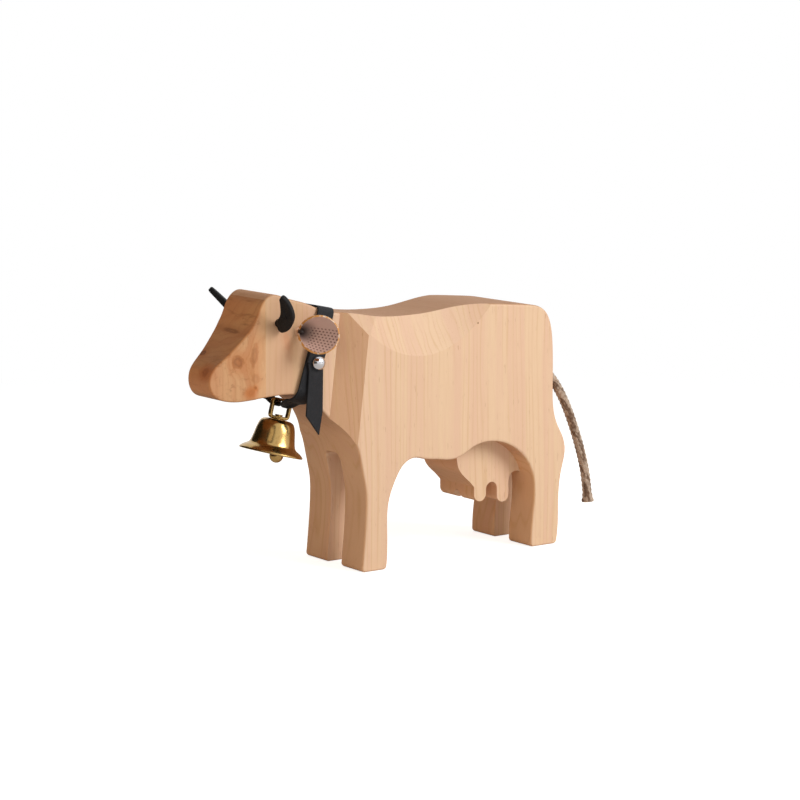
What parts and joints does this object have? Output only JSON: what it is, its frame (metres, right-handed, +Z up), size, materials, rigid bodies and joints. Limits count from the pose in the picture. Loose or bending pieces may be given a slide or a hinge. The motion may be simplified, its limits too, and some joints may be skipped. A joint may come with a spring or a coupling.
{
  "type": "cow figurine",
  "caption": "Standing cow figurine cut from a thick pale wooden board, with leather horns, ears and collar, a swinging brass bell and a cord tail.",
  "frame": {"origin": "middle of the standing cow's box, without its tail cord, at the surface it stands on", "axes": "+X from the nose towards the tail, +Y towards the cow's right side, +Z up"},
  "size_m": [0.2484, 0.0706, 0.1441],
  "materials": {
    "wood": "sanded, oiled",
    "black_leather": "smooth, dyed",
    "tan_leather": "embossed inside",
    "rivet_steel": "polished",
    "brass": "polished",
    "cord": "braided"
  },
  "bodies": {
    "cow": {"body_block": "wood", "muzzle_stave": "wood", "left_horn": "black_leather", "right_horn": "black_leather", "left_ear": "tan_leather", "right_ear": "tan_leather", "collar_strap": "black_leather", "rivet_cap": "rivet_steel", "rivet_post": "rivet_steel", "tail_cord": "cord"},
    "bell": {"bell_hanger": "brass", "bell_stud": "brass", "bell_shell": "brass"},
    "clapper": {"clapper": "brass"}
  },
  "joints": [
    {"name": "bell_swing", "type": "hinge", "parent": "cow", "child": "bell", "pos_m": [-0.05776, 0, 0.0823], "axis": [0, 1, 0], "range_deg": [-43, 50]},
    {"name": "clapper_swing", "type": "hinge", "parent": "bell", "child": "clapper", "pos_m": [-0.06012, 0, 0.07351], "axis": [0, 1, 0], "range_deg": [-21, 51]}
  ]
}
